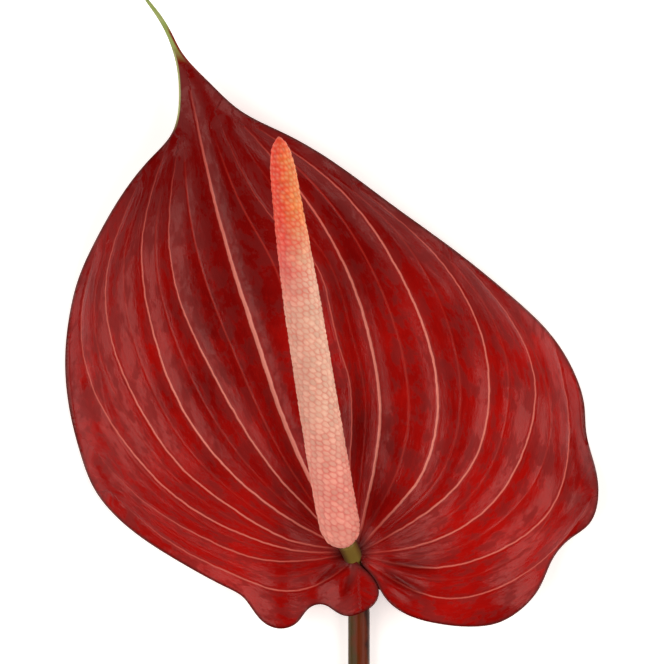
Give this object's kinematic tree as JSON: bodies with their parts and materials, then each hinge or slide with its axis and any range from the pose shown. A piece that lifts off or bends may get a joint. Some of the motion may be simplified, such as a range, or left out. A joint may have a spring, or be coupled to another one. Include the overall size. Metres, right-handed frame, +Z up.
{
  "type": "cut anthurium stem",
  "caption": "Cut anthurium lying on its back: long stem, red heart-shaped spathe with drip tip and waved edge, and a tapering spadix of small florets.",
  "frame": {"origin": "centre of the bounding box on the plane of the table", "axes": "+Y along the stem towards the tip of the bloom, +Z up from the table, +X to the right as seen from above"},
  "size_m": [0.1342, 0.427, 0.0419],
  "materials": {
    "stem_green": "satin plant skin, olive green turning red-brown",
    "spathe_red": "waxy gloss",
    "spadix_florets": "matt, fleshy"
  },
  "bodies": {
    "root": {"stem": "stem_green", "spathe": "spathe_red", "spadix": "spadix_florets"}
  },
  "joints": []
}
